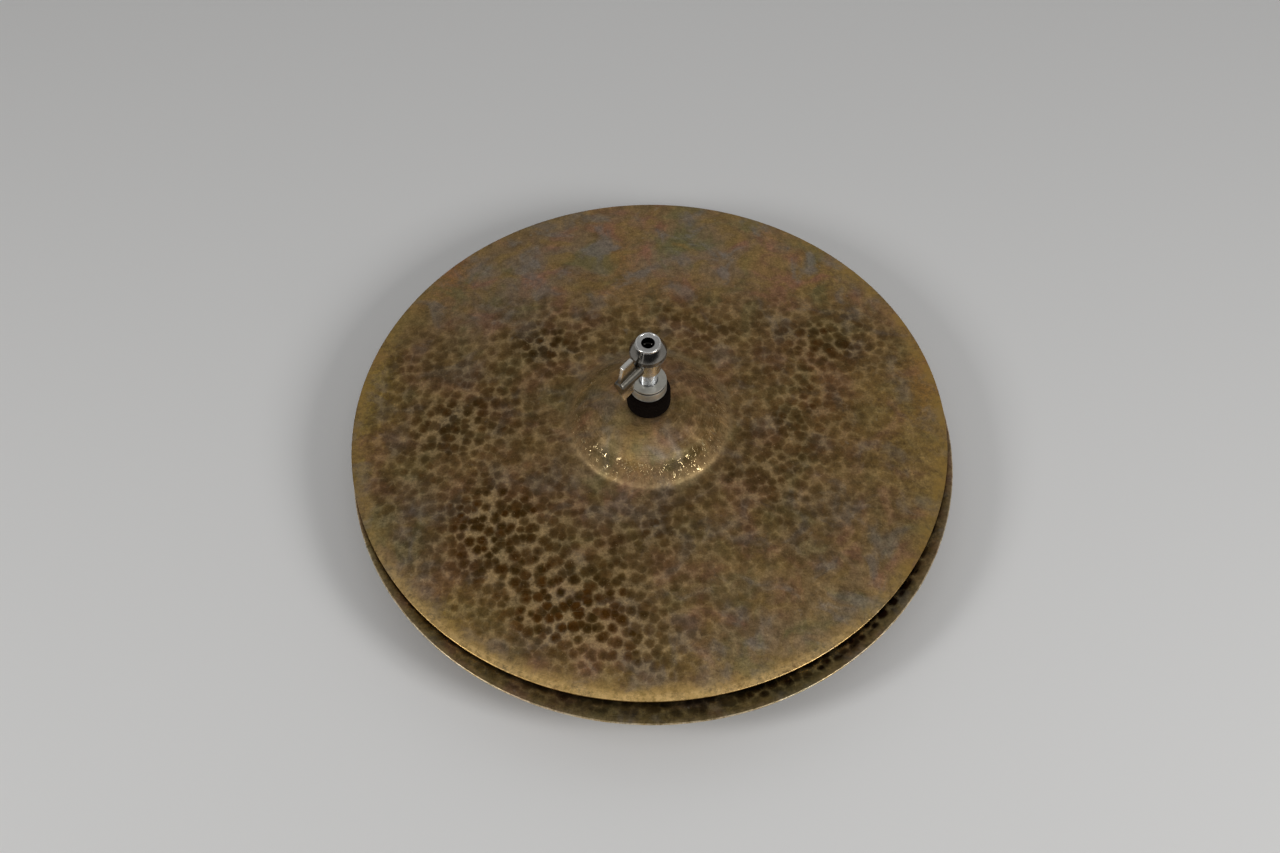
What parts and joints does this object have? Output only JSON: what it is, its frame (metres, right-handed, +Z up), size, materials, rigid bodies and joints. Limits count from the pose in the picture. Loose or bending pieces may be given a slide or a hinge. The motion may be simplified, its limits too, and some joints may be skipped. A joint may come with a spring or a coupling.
{
  "type": "hi hat cymbal pair",
  "caption": "Hi-hat cymbals lying rim to rim, bells outward, with a drop clutch through the upper bell: wing screw head, hollow threaded tube, round nuts and felts.",
  "frame": {"origin": "centre of the lower cymbal's hole, at the level of the floor it stands on", "axes": "+Z up, out of the lower cymbal's bell and along the clutch; +X to the right and +Y to the back as the pair lies"},
  "size_m": [0.3576, 0.3686, 0.1257],
  "materials": {
    "upper_bronze": "raw hammered bronze, olive gold with dark brown hammer spots and a lathed rim",
    "lower_bronze": "raw hammered bronze, dark grey brown, with a bright rim edge",
    "chrome": "polished chrome plate",
    "steel": "fine turned steel",
    "cast_wing": "chromed casting",
    "tip_brass": "turned brass",
    "felt": "pressed black wool felt",
    "nylon": "moulded black nylon"
  },
  "bodies": {
    "lower_cymbal": {"lower_cymbal": "lower_bronze"},
    "clutch": {"clutch_head": "chrome", "threaded_tube": "chrome", "cymbal_sleeve": "nylon", "upper_felt": "felt"},
    "upper_cymbal": {"upper_cymbal": "upper_bronze"},
    "screw_tip": {"wing_screw_tip": "tip_brass"},
    "wing_screw": {"wing_screw_shank": "steel", "wing_screw_wing": "cast_wing"},
    "upper_washer": {"upper_washer": "steel"},
    "adjusting_nut": {"adjusting_nut": "steel"},
    "lock_nut": {"lock_nut": "steel"},
    "lower_felt": {"lower_felt": "felt", "lower_washer": "steel"},
    "bottom_nut": {"bottom_nut": "steel", "bottom_nut_insert": "nylon"}
  },
  "joints": [
    {"name": "hat_lift", "type": "slide", "parent": "lower_cymbal", "child": "clutch", "axis": [0.0326, -0.2116, 0.9768], "range_m": [0, 0.0614]},
    {"name": "cymbal_spin", "type": "hinge", "parent": "clutch", "child": "upper_cymbal", "pos_m": [-0.002, 0.013, 0.0673], "axis": [0, 0, 1], "continuous": true},
    {"name": "screw_tip_travel", "type": "slide", "parent": "clutch", "child": "screw_tip", "axis": [-0.6494, -0.7604, 0], "range_m": [-0.001, 0.003]},
    {"name": "wing_screw_turn", "type": "hinge", "parent": "screw_tip", "child": "wing_screw", "pos_m": [-0.002, 0.013, 0.1098], "axis": [-0.6494, -0.7604, 0], "range_deg": [-360, 1080]},
    {"name": "upper_washer_travel", "type": "slide", "parent": "clutch", "child": "upper_washer", "axis": [0, 0, 1], "range_m": [0, 0.008]},
    {"name": "adjusting_nut_turn", "type": "hinge", "parent": "upper_washer", "child": "adjusting_nut", "pos_m": [-0.002, 0.013, 0.086], "axis": [0, 0, 1], "range_deg": [0, 2880]},
    {"name": "lock_nut_turn", "type": "hinge", "parent": "adjusting_nut", "child": "lock_nut", "pos_m": [-0.002, 0.013, 0.0895], "axis": [0, 0, 1], "range_deg": [0, 90]},
    {"name": "lower_felt_travel", "type": "slide", "parent": "clutch", "child": "lower_felt", "axis": [0, 0, 1], "range_m": [-0.006, 0]},
    {"name": "bottom_nut_turn", "type": "hinge", "parent": "lower_felt", "child": "bottom_nut", "pos_m": [-0.002, 0.013, 0.0545], "axis": [0, 0, 1], "range_deg": [-2160, 0]}
  ],
  "couplings": [
    {"joint": "screw_tip_travel", "follows": "wing_screw_turn", "m_per_rad": 0.00015915},
    {"joint": "upper_washer_travel", "follows": "adjusting_nut_turn", "m_per_rad": 0.00015915},
    {"joint": "lower_felt_travel", "follows": "bottom_nut_turn", "m_per_rad": 0.00015915}
  ]
}
